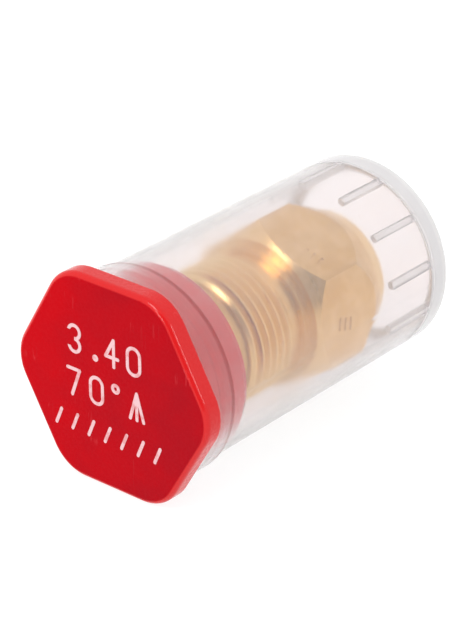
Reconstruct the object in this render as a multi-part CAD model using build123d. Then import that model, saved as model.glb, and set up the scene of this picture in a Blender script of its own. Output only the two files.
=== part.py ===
from build123d import *
from math import sqrt
import os

# Oil burner nozzle packed in a clear vial, lying on one flat of its hexagonal plug cap.
# Millimetres. Every piece is first modelled with the vial's axis on +Y and the printed
# face of the cap at y = 0. place() then moves it to the part's frame: origin under the
# middle of the object, at the bottom of the cap, +Y towards the vial's closed end, +Z up.
# It also settles the loose nozzle against the bottom of the vial, a little towards the cap.

# ---- driving dimensions: cap -----------------------------------------------------------
CAP_ACROSS_FLATS = 22.0
CAP_CORNER_RADIUS = 4.6
CAP_PLATE = 2.15
CAP_FACE_ROUND = 0.6
SKIRT_END = 8.7
SKIRT_WALL = 1.4
BEAD_START, BEAD_END = 4.1, 5.0

# ---- driving dimensions: vial ----------------------------------------------------------
VIAL_RADIUS = 10.5
VIAL_LENGTH = 40.2
BORE_RADIUS = 9.6
BASE_THICKNESS = 1.4
BASE_ROUND, FLOOR_ROUND = 0.6, 0.8
COLLAR_RADIUS = 10.85
COLLAR_END = 5.6
RIB_COUNT = 12
RIB_FIRST_ANGLE = 11.6
RIB_CREST_RADIUS = 9.0
RIB_WIDTH = 0.8
RIB_START = 31.5

# ---- driving dimensions: nozzle --------------------------------------------------------
NOZZLE_DROP, NOZZLE_BACK = 0.3, 0.35
HEX_ACROSS_FLATS = 16.0
HEX_FIRST_CORNER = 35.0
THREAD_RADIUS = 7.144
THREAD_PITCH = 25.4 / 24
THREAD_DEPTH = 0.61 * THREAD_PITCH
CREST_WIDTH = THREAD_PITCH / 5
BODY_REAR = 12.9
LEAD_RADIUS, LEAD_END = 6.95, 13.4
GROOVE_RADIUS, GROOVE_END = 6.2, 14.0
THREAD_END = 19.3
RELIEF_RADIUS = 6.35
SHOULDER_RADIUS, SHOULDER_REAR = 6.9, 20.9
HEX_REAR = 21.8
WASHER_FACE_RADIUS = 7.7
NOSE_END = 34.6
NOSE_RADIUS = 6.4
NOSE_CORNER = 28.2
SPRAY_MOUTH_RADIUS, SPRAY_THROAT_RADIUS = 3.0, 1.3
FRONT_WALL = 2.3
STAMP_DEPTH, STAMP_WIDTH, STAMP_LENGTH, STAMP_PITCH = 0.1, 0.3, 1.3, 0.85
UPPER_STAMP = (-1.7, 24.6, 15)
LOWER_STAMP = (-0.8, 25.8, 75)

# ---- driving dimensions: inside the nozzle ---------------------------------------------
RUNNING_GAP = 0.05
CLOSE_GAP = 0.02
SEAT_BORE_RADIUS = 4.5
STEM_BORE_RADIUS, STEM_BORE_END = 5.0, 20.9
DISC_THICKNESS = 1.9
ORIFICE_RADIUS = 0.2
CONE_SLOTS = 4
SCREW_START, SCREW_END = 22.6, 27.6
SCREW_PORTS = 3
STEM_FLANGE_RADIUS, STEM_FLANGE = 6.3, 1.5
STEM_END = 19.6
STEM_PASSAGE_RADIUS = 1.6
SLEEVE_START, SLEEVE_RADIUS, SLEEVE_TIP_RADIUS, SLEEVE_WALL = 3.3, 5.4, 4.7, 1.5

# ---- driving dimensions: print on the cap ----------------------------------------------
INK = 0.04
STROKE = 0.36
DIGIT_WIDTH, DIGIT_HEIGHT = 1.9, 3.15

def place(shape, drop=0.0, back=0.0):
    """Move a piece from the vial's axis to the part's frame."""
    return Pos(0, -VIAL_LENGTH / 2 - back, CAP_ACROSS_FLATS / 2 - drop) * shape


def turned(*outline):
    """A solid turned about +Y from a closed outline of (radius, distance) points."""
    return revolve(make_face(Polyline(*outline, close=True)), Axis.Y)


def rod(radius, start, end):
    return turned((0, start), (radius, start), (radius, end), (0, end))


def hexagonal_bar(across_flats, start, end):
    """A hexagonal prism along +Y with two corners on the X axis."""
    section = Plane(origin=(0, start, 0), x_dir=(1, 0, 0), z_dir=(0, -1, 0))
    return extrude(section * RegularPolygon(across_flats / sqrt(3), 6), start - end)


def turned_by(angle, shape):
    """The shape turned about the vial's axis, from +X towards +Z."""
    return Rot(0, -angle, 0) * shape


def around(count, shape, first_angle=0.0):
    """Copies of a shape spread evenly about the vial's axis."""
    return [turned_by(first_angle + 360 / count * step, shape) for step in range(count)]


# ---- vial ------------------------------------------------------------------------------
def make_tube():
    shell = turned(
        (BORE_RADIUS + 0.25, CAP_PLATE),
        (COLLAR_RADIUS, CAP_PLATE),
        (COLLAR_RADIUS, COLLAR_END - 0.2),
        (VIAL_RADIUS, COLLAR_END + 0.15),
        (VIAL_RADIUS, VIAL_LENGTH),
        (0, VIAL_LENGTH),
        (0, VIAL_LENGTH - BASE_THICKNESS),
        (BORE_RADIUS, VIAL_LENGTH - BASE_THICKNESS),
        (BORE_RADIUS, CAP_PLATE + 0.4),
    )
    shell = fillet(shell.edges().filter_by(GeomType.CIRCLE).group_by(Axis.Y)[-2], FLOOR_ROUND)
    shell = fillet(shell.edges().filter_by(GeomType.CIRCLE).group_by(Axis.Y)[-1], BASE_ROUND)
    length = VIAL_LENGTH - BASE_THICKNESS - RIB_START + 0.3
    depth = BORE_RADIUS + 0.3 - RIB_CREST_RADIUS
    bar = Box(depth, length, RIB_WIDTH, align=(Align.MIN, Align.MIN, Align.CENTER))
    crest = bar.edges().filter_by(Axis.Y).group_by(Axis.X)[0]
    bar = fillet(crest, 0.25)
    bar = Pos(RIB_CREST_RADIUS, RIB_START, 0) * bar
    return shell + around(RIB_COUNT, bar, RIB_FIRST_ANGLE)


# ---- cap -------------------------------------------------------------------------------
def make_cap():
    plate = hexagonal_bar(CAP_ACROSS_FLATS, 0, CAP_PLATE)
    plate = fillet(plate.edges().filter_by(Axis.Y), CAP_CORNER_RADIUS)
    plate = fillet(plate.edges().group_by(Axis.Y)[0], CAP_FACE_ROUND)
    plate = fillet(plate.edges().group_by(Axis.Y)[-1], 0.25)
    outer = BORE_RADIUS - 2 * RUNNING_GAP
    bead = BORE_RADIUS - CLOSE_GAP
    skirt = turned(
        (outer - SKIRT_WALL, CAP_PLATE - 0.2),
        (outer, CAP_PLATE - 0.2),
        (outer, BEAD_START),
        (bead, BEAD_START + 0.15),
        (bead, BEAD_END - 0.15),
        (outer, BEAD_END),
        (outer, SKIRT_END - 0.8),
        (outer - 0.35, SKIRT_END),
        (outer - SKIRT_WALL + 0.25, SKIRT_END),
        (outer - SKIRT_WALL, SKIRT_END - 0.25),
    )
    return plate + skirt


# ---- print on the cap: plain figures, a spray fan and a row of dashes -------------------
def dash(start, end):
    """One straight pen stroke with round ends."""
    run = Vector(*end) - Vector(*start)
    middle = (Vector(*start) + Vector(*end)) * 0.5
    angle = Vector(1, 0).get_signed_angle(run, Vector(0, 0, 1))
    return Pos(middle.X, middle.Y) * Rot(0, 0, angle) * SlotCenterToCenter(run.length, STROKE)


def ring(radius):
    return Circle(radius) - Circle(radius - STROKE)


def glyph_zero():
    outer = RectangleRounded(DIGIT_WIDTH, DIGIT_HEIGHT, DIGIT_WIDTH / 2 - 0.02)
    inner_width = DIGIT_WIDTH - 2 * STROKE
    inner = RectangleRounded(inner_width, DIGIT_HEIGHT - 2 * STROKE, inner_width / 2 - 0.02)
    return outer - inner


def glyph_seven():
    side, top = (DIGIT_WIDTH - STROKE) / 2, (DIGIT_HEIGHT - STROKE) / 2
    return dash((-side, top), (side, top)) + dash((side, top), (-side / 3, -top))


def glyph_four():
    side, top = (DIGIT_WIDTH - STROKE) / 2, (DIGIT_HEIGHT - STROKE) / 2
    post, bar = side / 3, -top / 3
    return (
        dash((post, top), (-side, bar))
        + dash((-side, bar), (side, bar))
        + dash((post, top), (post, -top))
    )


def glyph_three():
    bowl = (DIGIT_HEIGHT + STROKE) / 4
    left = Pos(-DIGIT_WIDTH, 0) * Rectangle(DIGIT_WIDTH * 2, DIGIT_HEIGHT - 4 * STROKE)
    upper = Pos(0, bowl - STROKE / 2) * ring(bowl)
    lower = Pos(0, STROKE / 2 - bowl) * ring(bowl)
    return upper + lower - left


def spray_fan():
    reach = DIGIT_HEIGHT / 2 - STROKE / 2
    tip = (0, reach)
    rays = [dash(tip, (reach * side * 0.6, -reach)) for side in (-1, 0, 1)]
    return rays[0] + rays[1] + rays[2]


def make_print():
    first_row, second_row, third_row = 4.0, -0.7, -5.05
    small_height = 1.65
    marks = [
        Pos(-4.4, first_row) * glyph_three(),
        Pos(-1.75, first_row - DIGIT_HEIGHT / 2 + STROKE) * Circle(STROKE),
        Pos(0.35, first_row) * glyph_four(),
        Pos(3.1, first_row) * glyph_zero(),
        Pos(-4.6, second_row) * glyph_seven(),
        Pos(-1.7, second_row) * glyph_zero(),
        Pos(0.75, second_row + DIGIT_HEIGHT / 2 - 0.55) * ring(0.55),
        Pos(3.4, second_row) * spray_fan(),
    ]
    lean, pitch, dashes = 0.35, 2.1, 7
    for step in range(dashes):
        middle = -0.4 + pitch * (step - (dashes - 1) / 2)
        low = (middle - lean, third_row - small_height / 2)
        high = (middle + lean, third_row + small_height / 2)
        marks.append(dash(low, high))
    face = Plane(origin=(0, 0, 0), x_dir=(1, 0, 0), z_dir=(0, -1, 0))
    return Compound(children=[extrude(face * mark, INK) for mark in marks])


# ---- nozzle body -----------------------------------------------------------------------
def thread_outline():
    """Ridges at the pitch of a 9/16-24 thread, from the groove to the thread's end."""
    root = THREAD_RADIUS - THREAD_DEPTH
    flank = (THREAD_PITCH - 2 * CREST_WIDTH) / 2
    count = int((THREAD_END - GROOVE_END) / THREAD_PITCH)
    first = THREAD_END - count * THREAD_PITCH
    points = []
    for turn in range(count):
        crest = first + turn * THREAD_PITCH + CREST_WIDTH / 2
        points += [
            (root, crest - flank),
            (THREAD_RADIUS, crest),
            (THREAD_RADIUS, crest + CREST_WIDTH),
            (root, crest + CREST_WIDTH + flank),
        ]
    return points


def stamped_bars(flat_angle, side, distance, turn):
    """Three short grooves in one flat of the hexagon, as a cutting tool."""
    bar = Box(2 * STAMP_DEPTH, STAMP_LENGTH, STAMP_WIDTH)
    bars = [Pos(0, 0, STAMP_PITCH * step) * bar for step in (-1, 0, 1)]
    spot = Pos(HEX_ACROSS_FLATS / 2, distance, side) * Rot(turn, 0, 0)
    return [turned_by(flat_angle, spot * each) for each in bars]


def make_nozzle_body():
    corner = HEX_ACROSS_FLATS / sqrt(3)
    slope = (corner - NOSE_RADIUS) / (NOSE_END - NOSE_CORNER)
    past = corner + 0.5
    inner = NOSE_END - FRONT_WALL
    shank = [
        (STEM_BORE_RADIUS + 0.5, BODY_REAR),
        (LEAD_RADIUS - 0.3, BODY_REAR),
        (LEAD_RADIUS, BODY_REAR + 0.3),
        (LEAD_RADIUS, LEAD_END),
        (GROOVE_RADIUS, LEAD_END + 0.2),
        (GROOVE_RADIUS, GROOVE_END),
    ]
    head = [
        (RELIEF_RADIUS, THREAD_END + 0.25),
        (RELIEF_RADIUS, SHOULDER_REAR),
        (SHOULDER_RADIUS, SHOULDER_REAR),
        (SHOULDER_RADIUS, HEX_REAR),
        (WASHER_FACE_RADIUS, HEX_REAR),
        (past, HEX_REAR + past - WASHER_FACE_RADIUS),
        (past, NOSE_CORNER - 0.5 / slope),
        (NOSE_RADIUS, NOSE_END),
        (SPRAY_MOUTH_RADIUS, NOSE_END),
        (SPRAY_THROAT_RADIUS, inner),
        (SEAT_BORE_RADIUS, inner),
        (SEAT_BORE_RADIUS, STEM_BORE_END),
        (STEM_BORE_RADIUS, STEM_BORE_END),
        (STEM_BORE_RADIUS, BODY_REAR + 0.5),
    ]
    blank = turned(*shank, *thread_outline(), *head)
    flats = turned_by(HEX_FIRST_CORNER, hexagonal_bar(HEX_ACROSS_FLATS, HEX_REAR, NOSE_END))
    body = blank & (flats + rod(THREAD_RADIUS + 0.1, BODY_REAR, HEX_REAR))
    nose_face = body.edges().filter_by(GeomType.CIRCLE).group_by(Axis.Y)[-1]
    body = fillet(nose_face.sort_by(SortBy.RADIUS)[-1], 0.5)
    upper_flat, lower_flat = HEX_FIRST_CORNER + 30, HEX_FIRST_CORNER - 30
    return body - stamped_bars(upper_flat, *UPPER_STAMP) - stamped_bars(lower_flat, *LOWER_STAMP)


# ---- pieces inside the nozzle -----------------------------------------------------------
def make_orifice_disc():
    """Orifice plate: conical swirl chamber behind, tiny hole, raised boss in front."""
    front = NOSE_END - FRONT_WALL
    rear = front - DISC_THICKNESS
    radius = SEAT_BORE_RADIUS - CLOSE_GAP
    return turned(
        (ORIFICE_RADIUS, front + 0.7),
        (SPRAY_THROAT_RADIUS - 0.35, front + 0.7),
        (SPRAY_THROAT_RADIUS - 0.1, front),
        (radius, front),
        (radius, rear),
        (3.2, rear),
        (0.7, front - 0.2),
        (ORIFICE_RADIUS, front + 0.3),
    )


def make_swirl_cone():
    """Distributor: a cone pressed into the orifice plate, with slots down its flank."""
    front = NOSE_END - FRONT_WALL
    rear = front - DISC_THICKNESS
    cone = turned(
        (0, front - 0.35),
        (0.7, front - 0.25),
        (3.15, rear - 0.05),
        (3.4, rear - 0.05),
        (3.4, SCREW_END + 0.6),
        (2.6, SCREW_END),
        (0, SCREW_END),
    )
    slot_length, slot_width, slot_depth = 8.0, 0.5, 0.45
    flank = Pos(1.95, front - 0.95, 0) * Rot(0, 0, 37) * Rot(18, 0, 0)
    slot = flank * Box(slot_depth, slot_length, slot_width)
    return cone - around(CONE_SLOTS, slot)


def make_lock_screw():
    """Clamping screw with a screwdriver slot and oil passages."""
    radius = SEAT_BORE_RADIUS - RUNNING_GAP
    screw = rod(radius, SCREW_START, SCREW_END - CLOSE_GAP)
    screw = chamfer(screw.edges().filter_by(GeomType.CIRCLE), 0.3)
    slot = Box(2 * SEAT_BORE_RADIUS, 1.2, 0.9, align=(Align.CENTER, Align.MIN, Align.CENTER))
    port = Pos(2.9, 0, 0) * rod(0.7, SCREW_START - 1, SCREW_END + 1)
    ports = around(SCREW_PORTS, port, 30)
    return screw - [Pos(0, SCREW_START, 0) * slot, *ports]


def make_filter_stem():
    """Threaded carrier: flange against the body's rear face, spigot inside the filter."""
    radius = STEM_BORE_RADIUS - RUNNING_GAP
    flange_front = BODY_REAR - RUNNING_GAP
    flange_rear = flange_front - STEM_FLANGE
    spigot = SLEEVE_RADIUS - SLEEVE_WALL
    return turned(
        (STEM_PASSAGE_RADIUS, flange_rear - 2.2),
        (spigot - 0.3, flange_rear - 2.2),
        (spigot, flange_rear - 1.9),
        (spigot, flange_rear),
        (STEM_FLANGE_RADIUS - 0.3, flange_rear),
        (STEM_FLANGE_RADIUS, flange_rear + 0.3),
        (STEM_FLANGE_RADIUS, flange_front),
        (radius, flange_front),
        (radius, STEM_END - 0.4),
        (radius - 0.4, STEM_END),
        (STEM_PASSAGE_RADIUS, STEM_END),
    )


def make_filter_sleeve():
    """Sintered thimble, closed at its rounded rear end."""
    flange_rear = BODY_REAR - RUNNING_GAP - STEM_FLANGE
    shell = turned(
        (0, SLEEVE_START),
        (SLEEVE_TIP_RADIUS, SLEEVE_START),
        (SLEEVE_RADIUS, flange_rear - 2.5),
        (SLEEVE_RADIUS, flange_rear),
        (SLEEVE_RADIUS - SLEEVE_WALL, flange_rear),
        (SLEEVE_RADIUS - SLEEVE_WALL, flange_rear - 2.5),
        (SLEEVE_TIP_RADIUS - SLEEVE_WALL, SLEEVE_START + SLEEVE_WALL),
        (0, SLEEVE_START + SLEEVE_WALL),
    )
    tip = shell.edges().filter_by(GeomType.CIRCLE).group_by(Axis.Y)[0]
    return fillet(tip, 1.0)


nodes = {
    "tube": place(make_tube()),
    "plug_cap": place(make_cap()),
    "cap_print": place(make_print()),
    "nozzle_body": place(make_nozzle_body(), NOZZLE_DROP, NOZZLE_BACK),
    "orifice_disc": place(make_orifice_disc(), NOZZLE_DROP, NOZZLE_BACK),
    "swirl_cone": place(make_swirl_cone(), NOZZLE_DROP, NOZZLE_BACK),
    "lock_screw": place(make_lock_screw(), NOZZLE_DROP, NOZZLE_BACK),
    "filter_stem": place(make_filter_stem(), NOZZLE_DROP, NOZZLE_BACK),
    "filter_sleeve": place(make_filter_sleeve(), NOZZLE_DROP, NOZZLE_BACK),
}

os.makedirs("parts", exist_ok=True)
for name, shape in nodes.items():
    export_step(shape, f"parts/{name}.step")
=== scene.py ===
"""Oil burner nozzle in its vial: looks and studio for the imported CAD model. Metres, CAD frame."""
import bpy
from math import radians
from mathutils import Matrix, Vector


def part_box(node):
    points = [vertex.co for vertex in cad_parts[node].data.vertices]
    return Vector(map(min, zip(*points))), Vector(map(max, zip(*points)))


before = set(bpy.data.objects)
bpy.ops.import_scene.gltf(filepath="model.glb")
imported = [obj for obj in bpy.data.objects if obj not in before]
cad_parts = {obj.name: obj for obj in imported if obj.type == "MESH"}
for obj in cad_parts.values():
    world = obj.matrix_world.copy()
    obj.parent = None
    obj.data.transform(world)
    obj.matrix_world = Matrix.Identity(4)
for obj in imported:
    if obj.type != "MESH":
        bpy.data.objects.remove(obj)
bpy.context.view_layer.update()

MM = 0.001

# ---- places on the object -------------------------------------------------------------------
VIAL_RADIUS = 10.5 * MM
VIAL_AXIS_Z = 11.0 * MM
NOZZLE_AXIS_Z = 10.7 * MM
CAP_FACE_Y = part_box("plug_cap")[0][1]
HEX_FLAT_RADIUS = 7.9 * MM
THREAD_RADIUS = 7.144 * MM
# The next radius is set low so that the painted highlight on the thread reaches into the relief next to
# the hexagon.
THREAD_ROOT = 6.25 * MM
BORE_RADIUS = 9.6 * MM
SKIRT_START_Y = CAP_FACE_Y + 2.15 * MM
COLLAR_END_Y = CAP_FACE_Y + 5.6 * MM
CLOSED_END_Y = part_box("tube")[1][1]
FLOOR_THICKNESS = 1.4 * MM
FLOOR_ROUND = 0.8 * MM
FLOOR_INSIDE_Y = CLOSED_END_Y - FLOOR_THICKNESS
FACE_MIDDLE = Vector((0, CAP_FACE_Y, VIAL_AXIS_Z))

# Bands of the vial's outside along Y, each as the start and end of its soft edge.
END_BAND = (FLOOR_INSIDE_Y - 1.8 * MM, FLOOR_INSIDE_Y - 0.6 * MM)
PALE_RING = (CLOSED_END_Y - 1.1 * MM, CLOSED_END_Y - 0.8 * MM)
DARK_EDGE = (CLOSED_END_Y - 0.25 * MM, CLOSED_END_Y - 0.15 * MM)
MOUTH_END = (COLLAR_END_Y, COLLAR_END_Y + 0.3 * MM)
# Where the painted line at the collar lies: a darkened reddish line standing in for the red skirt
# refracted at the collar's step.
COLLAR_LINE_Y = COLLAR_END_Y - 0.35 * MM
COLLAR_LINE = (0.16 * MM, 0.40 * MM)

# ---- colours --------------------------------------------------------------------------------
# The first two reds carry a random tone plus a painted shading gradient across the cap's face.
RED_DEEP, RED_BRIGHT = (0.36, 0.003, 0.009, 1), (0.50, 0.0005, 0.005, 1)
# Painted light: the next two reds are lighter copies of the cap's red, one for its sides and one for
# its skirt.
RED_SIDE_PAINTED_LIGHT, RED_SKIRT_PAINTED_LIGHT = (0.66, 0.008, 0.008, 1), (0.80, 0.006, 0.016, 1)
RED_SCUFFED = (0.72, 0.08, 0.09, 1)
INK_THIN, INK_FULL, INK_SPECK = (0.68, 0.30, 0.31, 1), (0.74, 0.47, 0.49, 1), (0.74, 0.26, 0.27, 1)
# The veil's milky white is its own colour; its pink tint is a painted reflection of the red cap.
VEIL_MILK_AND_RED_REFLECTION, VEIL_PALE_MILK_AND_RED_REFLECTION = (0.965, 0.925, 0.928, 1), (0.99, 0.958, 0.96, 1)
VEIL_THICK, VEIL_END_BAND = (0.97, 0.95, 0.955, 1), (0.92, 0.90, 0.91, 1)
VEIL_RING, VEIL_EDGE = (0.97, 0.96, 0.96, 1), (0.40, 0.39, 0.395, 1)
# Painted shade and refraction: a darkened reddish colour standing in for the red skirt seen through the
# collar's step.
VEIL_COLLAR_PAINTED_REFRACTION = (0.62, 0.42, 0.42, 1)
BRASS_DULL, BRASS_FRESH = (0.78, 0.47, 0.15, 1), (0.90, 0.60, 0.25, 1)
# The first colour here is a painted highlight for the thread and the relief next to it.
BRASS_THREAD_PAINTED_GLOW, BRASS_DIRT = (0.93, 0.66, 0.28, 1), (0.42, 0.20, 0.06, 1)
STEEL_DARK, STEEL_LIGHT = (0.44, 0.44, 0.45, 1), (0.60, 0.60, 0.61, 1)
BRONZE_GRAIN, BRONZE_JOINT = (0.66, 0.43, 0.21, 1), (0.30, 0.17, 0.08, 1)
# Painted shade for the pores between the grains.
BRONZE_PORE_SHADE = (0.14, 0.075, 0.04, 1)
PAPER_DARK, PAPER_LIGHT = (0.24, 0.24, 0.24, 1), (0.26, 0.26, 0.26, 1)


# ---- small node-graph helpers ---------------------------------------------------------------
class Graph:
    """A material's node graph, with short calls for the nodes used here."""

    def __init__(self, name):
        self.material = bpy.data.materials.new(name)
        self.material.use_nodes = True
        self.nodes = self.material.node_tree.nodes
        self.links = self.material.node_tree.links
        self.shader = self.nodes["Principled BSDF"]
        self.place = self.add("ShaderNodeTexCoord").outputs["Object"]

    def add(self, kind, **settings):
        node = self.nodes.new(kind)
        for key, value in settings.items():
            setattr(node, key, value)
        return node

    def put(self, socket, value):
        if isinstance(value, bpy.types.NodeSocket):
            self.links.new(value, socket)
        else:
            socket.default_value = value

    def set(self, **values):
        for key, value in values.items():
            self.put(self.shader.inputs[key.replace("_", " ")], value)

    def math(self, operation, a, b=0.0, clamp=False):
        node = self.add("ShaderNodeMath", operation=operation, use_clamp=clamp)
        self.put(node.inputs[0], a)
        self.put(node.inputs[1], b)
        return node.outputs[0]

    def ramp(self, value, low, high, start=0.0, end=1.0):
        node = self.add("ShaderNodeMapRange", interpolation_type="SMOOTHSTEP", clamp=True)
        for index, number in enumerate((value, low, high, start, end)):
            self.put(node.inputs[index], number)
        return node.outputs[0]

    def mix(self, factor, a, b):
        node = self.add("ShaderNodeMix", data_type="RGBA")
        self.put(node.inputs[0], factor)
        self.put(node.inputs[6], a)
        self.put(node.inputs[7], b)
        return node.outputs[2]

    def both(self, a, b):
        """Two masks multiplied."""
        return self.math("MULTIPLY", a, b)

    def axes(self, vector=None):
        node = self.add("ShaderNodeSeparateXYZ")
        self.put(node.inputs[0], vector or self.place)
        return node.outputs

    def lengthwise(self):
        """How much the surface faces along Y, 0 to 1."""
        normal = self.add("ShaderNodeNewGeometry").outputs["Normal"]
        return self.math("ABSOLUTE", self.axes(normal)[1])

    def from_axis(self, height):
        """Distance of the shaded point from a line along Y at this height."""
        x, y, z = self.axes()
        up = self.math("SUBTRACT", z, height)
        squares = self.math("ADD", self.math("MULTIPLY", x, x), self.math("MULTIPLY", up, up))
        return self.math("SQRT", squares)

    def stretched(self, scale, turn=(0, 0, 0), shift=(0, 0, 0)):
        node = self.add("ShaderNodeMapping")
        self.put(node.inputs["Vector"], self.place)
        node.inputs["Location"].default_value = shift
        node.inputs["Rotation"].default_value = [radians(angle) for angle in turn]
        node.inputs["Scale"].default_value = scale
        return node.outputs[0]

    def noise(self, scale, detail=3.0, rough=0.5, vector=None, distort=0.0):
        node = self.add("ShaderNodeTexNoise")
        self.put(node.inputs["Vector"], vector or self.place)
        node.inputs["Scale"].default_value = scale
        node.inputs["Detail"].default_value = detail
        node.inputs["Roughness"].default_value = rough
        node.inputs["Distortion"].default_value = distort
        return node.outputs["Fac"]

    def cells(self, scale):
        node = self.add("ShaderNodeTexVoronoi")
        self.put(node.inputs["Vector"], self.place)
        node.inputs["Scale"].default_value = scale
        return node.outputs["Distance"]

    def bump(self, height, distance, below=None):
        node = self.add("ShaderNodeBump")
        node.inputs["Distance"].default_value = distance
        self.put(node.inputs["Height"], height)
        if below:
            self.put(node.inputs["Normal"], below)
        return node.outputs[0]

    def hairlines(self, angle, density, shift):
        """Sparse thin scratches on the cap's face, all near one direction."""
        wander = self.stretched((900, 900, 40), turn=(0, angle, 0), shift=shift)
        line = self.noise(1.0, 2.0, 0.5, wander, 0.6)
        off_middle = self.math("ABSOLUTE", self.math("SUBTRACT", line, 0.5))
        thin = self.ramp(off_middle, 0.0, 0.012, 1.0, 0.0)
        patches = self.noise(240, 2.0, 0.5, self.stretched((1, 1, 1), shift=shift))
        patch = self.ramp(patches, 1 - density, 1 - density + 0.04)
        return self.both(thin, patch)


def dress(node_name, material):
    """Gives a CAD node its finished material."""
    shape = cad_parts[node_name]
    shape.data.materials.clear()
    shape.data.materials.append(material)


# ---- materials ------------------------------------------------------------------------------
def red_plastic():
    """Cap: painted shading makes its face deeper red towards its right; painted light makes its sides
    and its skirt brighter; glossier on its sides, faintly scuffed.
    """
    g = Graph("red_polyethylene")
    cloud = g.noise(160, 4.0, 0.55)
    grain = g.noise(2600, 3.0, 0.6)
    one_way, other_way = g.hairlines(24, 0.38, (5.6, 0, 2.3)), g.hairlines(-66, 0.36, (1.4, 0, 7.9))
    scratches = g.math("MAXIMUM", one_way, other_way)
    # Painted shading: the face is painted brighter towards its left and deeper red towards its right,
    # standing in for how light falls across it.
    flow = g.ramp(g.axes()[0], -10 * MM, 3 * MM, 0.75, 0.0)
    tone_and_painted_shading = g.math("ADD", g.ramp(cloud, 0.3, 0.7, 0.0, 0.5), flow, clamp=True)
    side = g.ramp(g.lengthwise(), 0.90, 0.995, 1.0, 0.0)
    skirt = g.ramp(g.axes()[1], SKIRT_START_Y - 0.2 * MM, SKIRT_START_Y)
    dust = g.ramp(g.cells(900), 0.0, 0.05, 1.0, 0.0)
    colour = g.mix(tone_and_painted_shading, RED_DEEP, RED_BRIGHT)
    # Painted light: the sides get a brighter copy of the face's red, lighter where more light falls on
    # them.
    colour = g.mix(g.both(side, 0.8), colour, RED_SIDE_PAINTED_LIGHT)
    # Painted light: the skirt, which sits inside the vial, is painted a brighter red than the face,
    # standing in for light that reaches it.
    colour = g.mix(skirt, colour, RED_SKIRT_PAINTED_LIGHT)
    colour = g.mix(g.both(scratches, 0.25), colour, RED_SCUFFED)
    colour = g.mix(g.both(dust, 0.12), colour, RED_SCUFFED)
    rough = g.math("ADD", g.ramp(grain, 0.3, 0.7, 0.22, 0.32), g.both(scratches, 0.15))
    skin = g.bump(grain, 0.003 * MM)
    skin = g.bump(cloud, 0.08 * MM, skin)
    skin = g.bump(scratches, -0.01 * MM, skin)
    g.set(Base_Color=colour, Roughness=rough, Normal=skin, IOR=1.5, Specular_IOR_Level=0.03)
    g.set(Coat_Weight=g.both(side, 0.6), Coat_Roughness=0.14)
    return g.material


def white_ink():
    """Pad-printed ink, a little thin, so the red below warms it."""
    g = Graph("printed_ink")
    speck = g.noise(3800, 4.0, 0.7)
    cover = g.ramp(g.noise(900, 3.0, 0.6), 0.36, 0.5)
    colour = g.mix(cover, INK_THIN, INK_FULL)
    colour = g.mix(g.ramp(speck, 0.62, 0.75), colour, INK_SPECK)
    rough = g.ramp(speck, 0.3, 0.7, 0.45, 0.65)
    g.set(Base_Color=colour, Roughness=rough, Normal=g.bump(speck, 0.01 * MM))
    return g.material


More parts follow.
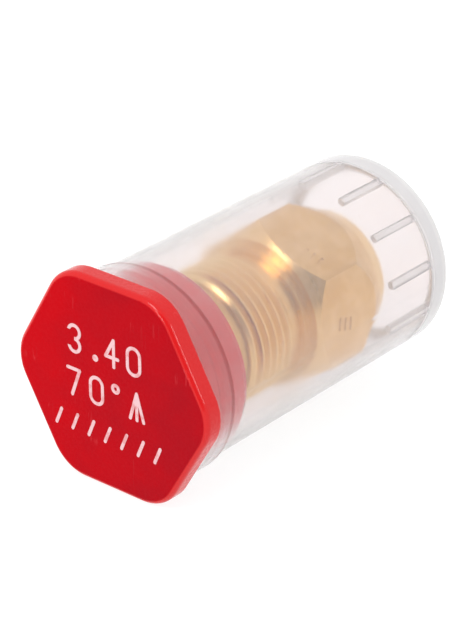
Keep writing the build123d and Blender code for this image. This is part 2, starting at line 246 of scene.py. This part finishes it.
def milky_plastic():
    """Vial: clear with a milky veil, which is thicker at the ribs, the floor and the end band; its pink
    tint is a painted reflection of the red cap, and the line at the collar is painted.
    """
    g = Graph("milky_polypropylene")
    cloud = g.noise(110, 4.0, 0.6, g.stretched((1, 0.35, 1)))
    grain = g.noise(1500, 3.0, 0.55)
    along = g.axes()[1]
    radius = g.from_axis(VIAL_AXIS_Z)

    # Inside: rib crests, and the rounded corner between the bore and the floor.
    ahead_of_floor = g.ramp(along, FLOOR_INSIDE_Y - 0.02 * MM, FLOOR_INSIDE_Y - 0.01 * MM, 1.0, 0.0)
    crest = g.ramp(radius, BORE_RADIUS - 0.10 * MM, BORE_RADIUS - 0.03 * MM, 1.0, 0.0)
    rib = g.both(crest, ahead_of_floor)
    corner_radius, corner_along = BORE_RADIUS - FLOOR_ROUND, FLOOR_INSIDE_Y - FLOOR_ROUND
    corner = g.both(g.ramp(radius, corner_radius - 0.2 * MM, corner_radius),
                    g.ramp(along, corner_along - 0.2 * MM, corner_along))
    inside = g.both(g.ramp(radius, BORE_RADIUS + 0.1 * MM, BORE_RADIUS + 0.2 * MM, 1.0, 0.0),
                    g.ramp(along, FLOOR_INSIDE_Y + 0.1 * MM, FLOOR_INSIDE_Y + 0.2 * MM, 1.0, 0.0))
    corner = g.both(corner, inside)

    # Outside: the painted line at the collar, a darkened reddish line standing in for the red skirt
    # refracted at the collar's step, and the bands at the closed end.
    outside = g.ramp(radius, BORE_RADIUS + 0.4 * MM, BORE_RADIUS + 0.6 * MM)
    off_line = g.math("ABSOLUTE", g.math("SUBTRACT", along, COLLAR_LINE_Y))
    painted_collar_line = g.both(g.ramp(off_line, *COLLAR_LINE, 1.0, 0.0), outside)
    end_band = g.both(g.ramp(along, *END_BAND), outside)
    pale_ring = g.both(g.ramp(along, *PALE_RING), outside)
    dark_edge = g.both(g.ramp(along, *DARK_EDGE), outside)
    mouth = g.ramp(along, *MOUTH_END, 1.0, 0.0)

    # Milky veil, tinted pink as a painted reflection of the red cap.
    colour = g.mix(g.ramp(cloud, 0.35, 0.7), VEIL_MILK_AND_RED_REFLECTION, VEIL_PALE_MILK_AND_RED_REFLECTION)
    colour = g.mix(g.math("MAXIMUM", rib, corner), colour, VEIL_THICK)
    colour = g.mix(end_band, colour, VEIL_END_BAND)
    colour = g.mix(pale_ring, colour, VEIL_RING)
    colour = g.mix(dark_edge, colour, VEIL_EDGE)
    colour = g.mix(painted_collar_line, colour, VEIL_COLLAR_PAINTED_REFRACTION)
    clear = g.ramp(cloud, 0.3, 0.75, 0.925, 0.885)
    for mask, veil in ((rib, 0.42), (corner, 0.75), (end_band, 0.52)):
        clear = g.math("SUBTRACT", clear, g.both(mask, veil))
    clear = g.math("ADD", clear, g.both(mouth, 0.022), clamp=True)
    flow = g.bump(g.noise(70, 2.0, 0.5, g.stretched((1, 0.2, 1))), 0.03 * MM)
    skin = g.bump(grain, 0.0010 * MM, flow)
    g.set(Base_Color=colour, Roughness=g.ramp(cloud, 0.3, 0.75, 0.10, 0.17), Normal=skin, IOR=1.42)
    g.set(Transmission_Weight=clear, Specular_IOR_Level=0.5)
    return g.material


def brass(name, satin=0.0):
    """Brass with turning rings on round faces and drawn lines on the flats of the hexagon; the thread
    and the relief beside it are painted lighter and yellower, a painted highlight.
    """
    g = Graph(name)
    radius = g.from_axis(NOZZLE_AXIS_Z)
    past_flats = g.ramp(radius, HEX_FLAT_RADIUS - 0.02 * MM, HEX_FLAT_RADIUS + 0.02 * MM)
    flat = g.both(g.ramp(g.lengthwise(), 0.1, 0.25, 1.0, 0.0), past_flats)
    rings = g.noise(1.0, 3.0, 0.7, g.stretched((60, 9000, 60)))
    drawn = g.noise(1.0, 2.0, 0.55, g.stretched((4200, 160, 4200)))
    tooling = g.add("ShaderNodeMix")
    g.put(tooling.inputs[0], flat)
    g.put(tooling.inputs[2], rings)
    g.put(tooling.inputs[3], drawn)
    tool = tooling.outputs[0]
    tarnish = g.noise(320, 5.0, 0.6)
    outer = g.ramp(radius, THREAD_ROOT, THREAD_ROOT + 0.2 * MM)
    thread_glow = g.both(outer, g.ramp(radius, THREAD_RADIUS + 0.1 * MM, THREAD_RADIUS + 0.3 * MM, 1.0, 0.0))
    dirt = g.both(g.ramp(tool, 0.5, 0.75, 0.0, 0.25), g.ramp(flat, 0.0, 1.0, 1.0, 0.3))
    colour = g.mix(g.ramp(tarnish, 0.35, 0.7), BRASS_DULL, BRASS_FRESH)
    # Painted highlight: the thread and the relief beside it are painted lighter and yellower, standing
    # in for the glow of light there.
    colour = g.mix(g.both(thread_glow, 0.7), colour, BRASS_THREAD_PAINTED_GLOW)
    colour = g.mix(dirt, colour, BRASS_DIRT)
    rough = g.math("ADD", g.ramp(tool, 0.25, 0.75, 0.24, 0.38), g.ramp(tarnish, 0.4, 0.8, 0.0, 0.08))
    rough = g.math("ADD", rough, g.both(flat, 0.10))
    rough = g.math("ADD", rough, satin)
    g.set(Base_Color=colour, Metallic=1.0, Roughness=rough, Normal=g.bump(tool, 0.004 * MM))
    return g.material


def ground_steel():
    """Hard steel with fine grinding lines."""
    g = Graph("ground_steel")
    lines = g.noise(1.0, 3.0, 0.7, g.stretched((300, 9000, 300)))
    stain = g.noise(700, 4.0, 0.6)
    colour = g.mix(g.ramp(stain, 0.35, 0.7), STEEL_DARK, STEEL_LIGHT)
    rough = g.ramp(lines, 0.3, 0.7, 0.2, 0.36)
    g.set(Base_Color=colour, Metallic=1.0, Roughness=rough, Normal=g.bump(lines, 0.004 * MM))
    return g.material


def sintered_bronze():
    """Porous filter bronze: small round grains with pores between them, the pores' darkness painted
    shade.
    """
    g = Graph("sintered_bronze")
    grains = g.cells(5200)
    pore_shade = g.ramp(g.noise(7000, 3.0, 0.6), 0.35, 0.5, 1.0, 0.0)
    colour = g.mix(g.ramp(grains, 0.1, 0.6), BRONZE_GRAIN, BRONZE_JOINT)
    # Painted shade: the pores are not modelled; the shade inside them is painted in as a dark colour.
    colour = g.mix(pore_shade, colour, BRONZE_PORE_SHADE)
    rough = g.ramp(grains, 0.1, 0.6, 0.45, 0.75)
    skin = g.bump(grains, -0.09 * MM)
    g.set(Base_Color=colour, Metallic=0.85, Roughness=rough, Normal=skin)
    return g.material


BRASS = brass("turned_brass")
STEEL = ground_steel()
dress("tube", milky_plastic())
dress("plug_cap", red_plastic())
dress("cap_print", white_ink())
for turned_piece in ("nozzle_body", "lock_screw"):
    dress(turned_piece, BRASS)
dress("filter_stem", brass("satin_brass", satin=0.25))
for steel_piece in ("orifice_disc", "swirl_cone"):
    dress(steel_piece, STEEL)
dress("filter_sleeve", sintered_bronze())


# ---- studio ---------------------------------------------------------------------------------
def make_floor():
    """A light table: pale paper that glows, so the object casts hardly any shadow."""
    half = 1.5
    mesh = bpy.data.meshes.new("studio_floor")
    corners = [(-half, -half, 0), (half, -half, 0), (half, half, 0), (-half, half, 0)]
    mesh.from_pydata(corners, [], [(0, 1, 2, 3)])
    floor = bpy.data.objects.new("studio_floor", mesh)
    bpy.context.collection.objects.link(floor)
    g = Graph("studio_floor")
    colour = g.mix(g.noise(900, 3.0, 0.6), PAPER_DARK, PAPER_LIGHT)
    g.set(Base_Color=colour, Roughness=0.9, Specular_IOR_Level=0.1)
    g.set(Emission_Color=(1, 1, 1, 1), Emission_Strength=0.85)
    mesh.materials.append(g.material)


def make_world():
    """A white light tent with an opening towards its front, where little light comes from."""
    opening, opening_edge, tent_light, opening_light = (0.57, -0.69, 0.45), (0.83, 0.93), 1.06, 0.30
    world = bpy.data.worlds.new("studio")
    bpy.context.scene.world = world
    world.use_nodes = True
    nodes, links = world.node_tree.nodes, world.node_tree.links
    towards_opening = nodes.new("ShaderNodeVectorMath")
    towards_opening.operation = "DOT_PRODUCT"
    links.new(nodes.new("ShaderNodeTexCoord").outputs["Generated"], towards_opening.inputs[0])
    towards_opening.inputs[1].default_value = opening
    fade = nodes.new("ShaderNodeMapRange")
    links.new(towards_opening.outputs["Value"], fade.inputs[0])
    for index, number in enumerate((*opening_edge, tent_light, opening_light), start=1):
        fade.inputs[index].default_value = number
    links.new(fade.outputs[0], nodes["Background"].inputs["Strength"])
    nodes["Background"].inputs["Color"].default_value = (1.0, 1.0, 1.0, 1)


def softbox(name, place, size, power):
    """A square area light aimed at the middle of the vial."""
    light = bpy.data.lights.new(name, "AREA")
    light.shape = "SQUARE"
    light.size = size
    light.energy = power
    lamp = bpy.data.objects.new(name, light)
    bpy.context.collection.objects.link(lamp)
    lamp.location = place
    aim = Vector((0, 0, VIAL_AXIS_Z)) - Vector(place)
    lamp.rotation_euler = aim.to_track_quat("-Z", "Y").to_euler()


def make_camera():
    """A long lens at the level and distance from which the object is looked at."""
    azimuth, elevation, distance = 39.627, 26.883, 23.371 * VIAL_RADIUS
    focal_pixels, frame_height = 2599.7, 627
    off_right, off_up = -1.12504 * VIAL_RADIUS, -0.68504 * VIAL_RADIUS
    around, tilt = radians(azimuth), radians(90 - elevation)
    turn = Matrix.Rotation(around, 3, "Z") @ Matrix.Rotation(tilt, 3, "X")
    right, up, back = turn.col[0], turn.col[1], turn.col[2]
    data = bpy.data.cameras.new("camera")
    data.sensor_width = 36.0
    data.lens = data.sensor_width * focal_pixels / frame_height
    data.clip_start = 0.01
    camera = bpy.data.objects.new("camera", data)
    bpy.context.collection.objects.link(camera)
    camera.location = FACE_MIDDLE - right * off_right - up * off_up + back * distance
    camera.rotation_euler = turn.to_euler()
    bpy.context.scene.camera = camera


make_floor()
make_world()
softbox("key", (-0.04, -0.42, 0.50), 0.22, 1.15)
softbox("side", (0.55, 0.05, 0.30), 0.14, 0.5)
softbox("front", (0.02, -0.58, 0.20), 0.16, 0.5)
make_camera()
bpy.context.scene.view_settings.view_transform = "Standard"
